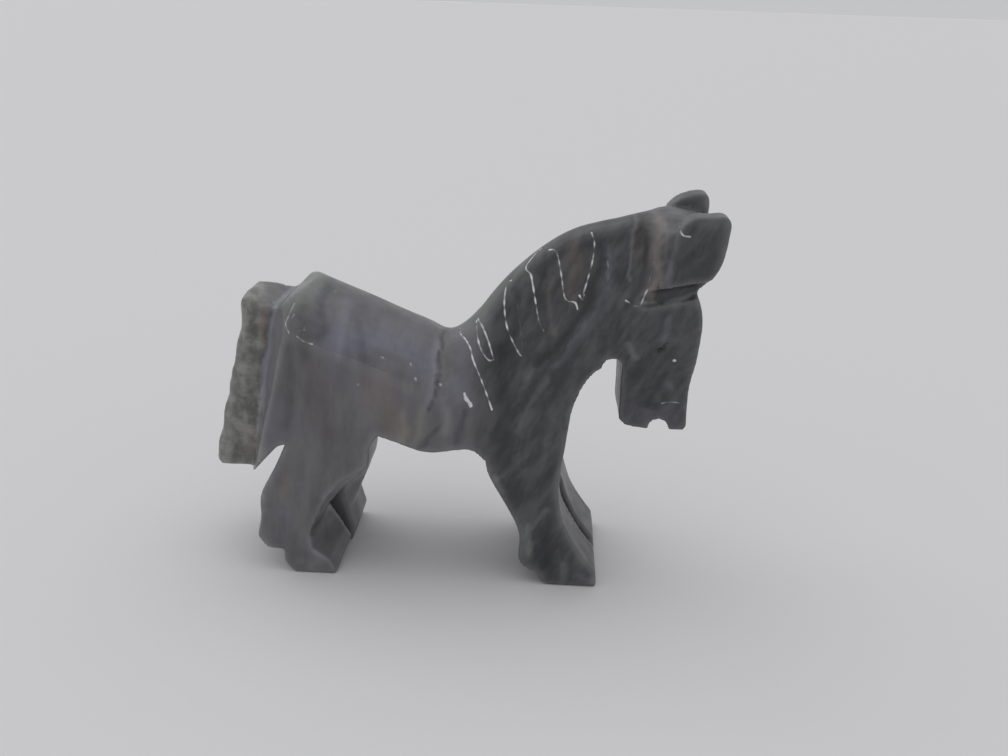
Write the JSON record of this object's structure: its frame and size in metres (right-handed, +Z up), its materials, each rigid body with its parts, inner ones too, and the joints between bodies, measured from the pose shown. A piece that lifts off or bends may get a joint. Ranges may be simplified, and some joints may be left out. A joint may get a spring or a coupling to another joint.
{
  "type": "carved stone horse figure",
  "caption": "Small standing horse carved from one slab of grey veined stone, with arched neck, forward ears, slotted legs and a wavy-edged tail.",
  "frame": {"origin": "on the ground, under the middle of the horse's bounding box", "axes": "+Z up; +X towards the head; the flanks face +Y and -Y"},
  "size_m": [0.0784, 0.0234, 0.061],
  "materials": {
    "stone": "smoothed grey stone with a dull sheen, light and dark veins and white scratched lines"
  },
  "bodies": {
    "root": {"horse": "stone"}
  },
  "joints": []
}
